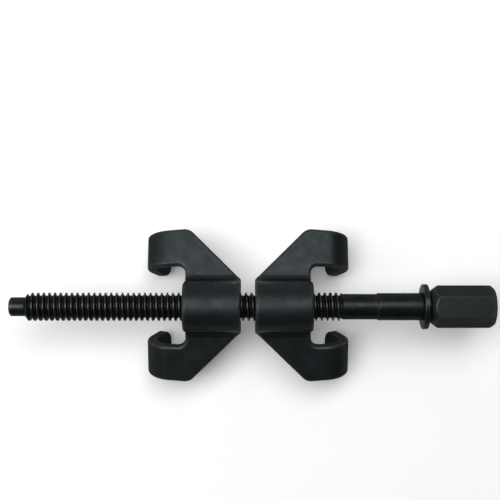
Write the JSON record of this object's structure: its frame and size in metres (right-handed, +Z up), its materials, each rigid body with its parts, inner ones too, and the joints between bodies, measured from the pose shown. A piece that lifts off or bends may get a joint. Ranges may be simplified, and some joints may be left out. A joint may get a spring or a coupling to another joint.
{
  "type": "coil spring compressor",
  "caption": "Coil spring compressor: hooked claws on a long forcing screw, drawn together by turning a drive hex against a thrust washer.",
  "frame": {"origin": "on the floor under the middle of the tool's box, which stands on the tips of its hooks", "axes": "+X along the forcing screw towards the drive hex, +Z up from the hook tips to the crowns of the claws, +Y across the claws"},
  "size_m": [0.2732, 0.089, 0.0559],
  "materials": {
    "claw_steel": "black phosphate, satin",
    "block_steel": "black phosphate, satin",
    "screw_steel": "black phosphate, oiled",
    "hex_steel": "black phosphate, satin",
    "washer_steel": "black phosphate, satin",
    "weld_metal": "blackened weld, matt"
  },
  "bodies": {
    "travelling_jaw": {"travelling_claw": "claw_steel", "travelling_nut_block": "block_steel", "travelling_block_weld_front": "weld_metal", "travelling_block_weld_rear": "weld_metal"},
    "thrust_washer": {"thrust_washer": "washer_steel"},
    "forcing_screw": {"forcing_screw": "screw_steel", "drive_hex": "hex_steel", "drive_hex_weld": "weld_metal"},
    "free_jaw": {"free_claw": "claw_steel", "free_guide_block": "block_steel", "free_block_weld_front": "weld_metal", "free_block_weld_rear": "weld_metal"}
  },
  "joints": [
    {"name": "screw_travel", "type": "slide", "parent": "travelling_jaw", "child": "thrust_washer", "axis": [1, 0, 0], "range_m": [-0.0065, 0.088]},
    {"name": "screw_spin", "type": "hinge", "parent": "thrust_washer", "child": "forcing_screw", "pos_m": [0, 0, 0.04162], "axis": [1, 0, 0], "range_deg": [-738, 9979]},
    {"name": "free_jaw_slide", "type": "slide", "parent": "thrust_washer", "child": "free_jaw", "axis": [1, 0, 0], "range_m": [0, 0.0609]}
  ],
  "couplings": [
    {"joint": "screw_spin", "follows": "screw_travel", "rad_per_m": 1979}
  ]
}
